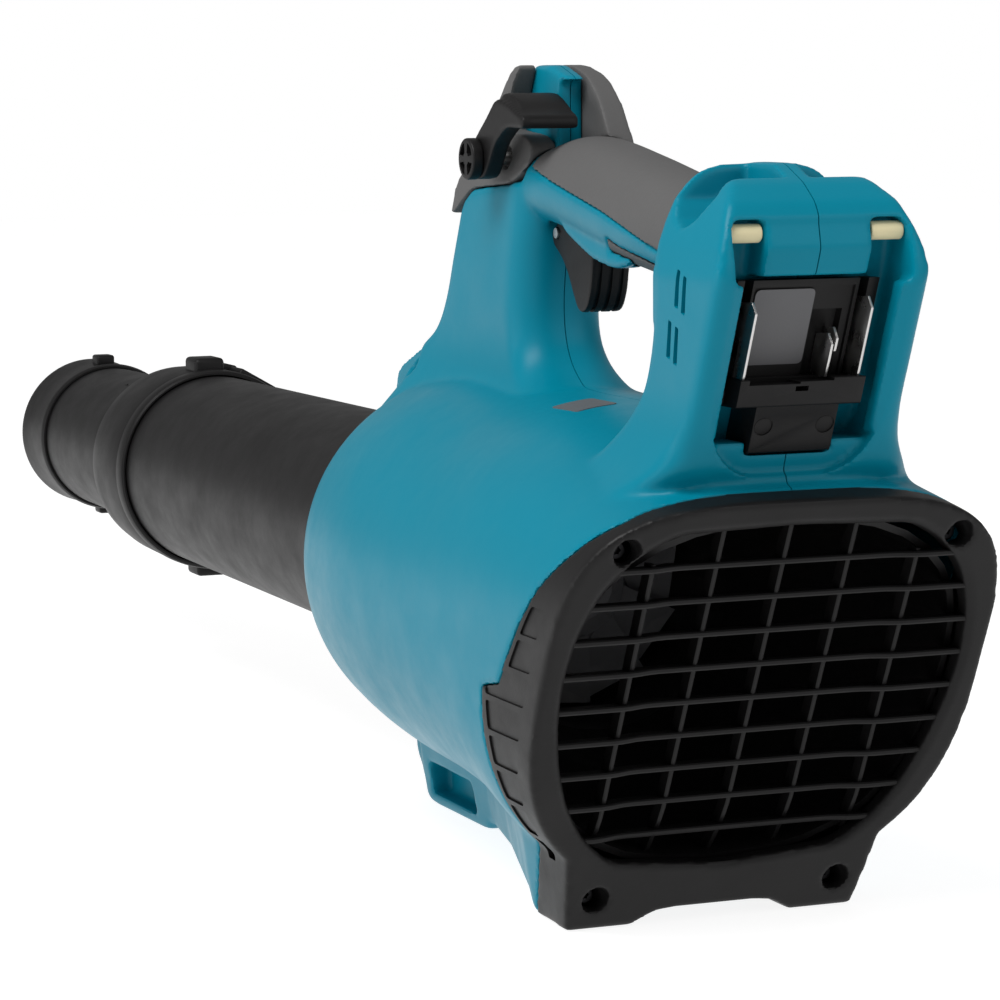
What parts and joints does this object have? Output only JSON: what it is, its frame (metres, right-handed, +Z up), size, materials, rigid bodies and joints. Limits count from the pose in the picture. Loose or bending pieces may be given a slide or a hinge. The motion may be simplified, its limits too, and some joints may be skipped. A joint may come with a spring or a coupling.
{
  "type": "leaf blower",
  "caption": "Hand-held cordless axial leaf blower: clamshell housing with loop handle, barred air intake, battery slot, telescoping outlet tube and trigger.",
  "frame": {"origin": "middle of the underside of the bounding box, on the ground the feet stand on", "axes": "+X towards the air outlet along the fan axis, +Y to the operator's left, +Z up"},
  "size_m": [0.922, 0.176, 0.3163],
  "materials": {
    "teal_shell": "satin, finely textured moulding",
    "black_plastic": "satin moulding",
    "grip_rubber": "matt elastomer",
    "steel": "plain metal",
    "black_steel": "blackened screws",
    "grey_plastic": "matt",
    "cream_rubber": "smooth, slightly translucent",
    "copper_windings": "enamelled wire"
  },
  "bodies": {
    "housing": {"housing_left": "teal_shell", "housing_right": "teal_shell", "intake_cover": "black_plastic", "terminal_block": "black_plastic", "rear_pipe": "black_plastic", "fan_duct": "black_plastic", "stator_vanes": "black_plastic", "tail_cone": "black_plastic", "grip_cover": "grip_rubber", "grip_insert": "grip_rubber", "hood_cover_left": "grip_rubber", "hood_cover_right": "grip_rubber", "lever_pin": "steel", "trigger_pin": "steel", "terminal_blade_left": "steel", "terminal_blade_right": "steel", "signal_terminal_1": "steel", "signal_terminal_2": "steel", "bearing_front": "steel", "bearing_rear": "steel", "cover_screw_1": "black_steel", "cover_screw_2": "black_steel", "cover_screw_3": "black_steel", "cover_screw_4": "black_steel", "switch_body": "grey_plastic", "terminal_plate": "grey_plastic", "controller": "grey_plastic", "bumper_left": "cream_rubber", "bumper_right": "cream_rubber", "motor_windings": "copper_windings"},
    "fan": {"impeller": "grey_plastic", "impeller_nut": "steel", "motor_shaft": "steel", "motor_rotor": "steel"},
    "trigger": {"trigger": "black_plastic"},
    "lever": {"cruise_lever": "black_plastic", "lever_cap": "black_plastic"},
    "collar": {"lock_collar": "black_plastic", "collar_seal": "grip_rubber"},
    "nozzle": {"front_nozzle": "black_plastic", "outlet_ring": "black_plastic"}
  },
  "joints": [
    {"name": "fan_spin", "type": "hinge", "parent": "housing", "child": "fan", "pos_m": [-0.193, 0, 0.109], "axis": [1, 0, 0], "continuous": true},
    {"name": "trigger_pull", "type": "hinge", "parent": "housing", "child": "trigger", "pos_m": [-0.245, 0, 0.25], "axis": [0, 1, 0], "range_deg": [0, 12], "stiffness_Nm_per_rad": 0.5, "springref_deg": -5.73},
    {"name": "cruise_lever_turn", "type": "hinge", "parent": "housing", "child": "lever", "pos_m": [-0.215, 0, 0.279], "axis": [0, 1, 0], "range_deg": [0, 20]},
    {"name": "collar_turn", "type": "hinge", "parent": "housing", "child": "collar", "pos_m": [0.225, 0, 0.109], "axis": [1, 0, 0], "range_deg": [0, 30]},
    {"name": "nozzle_slide", "type": "slide", "parent": "housing", "child": "nozzle", "axis": [1, 0, 0], "range_m": [-0.1, 0]}
  ]
}
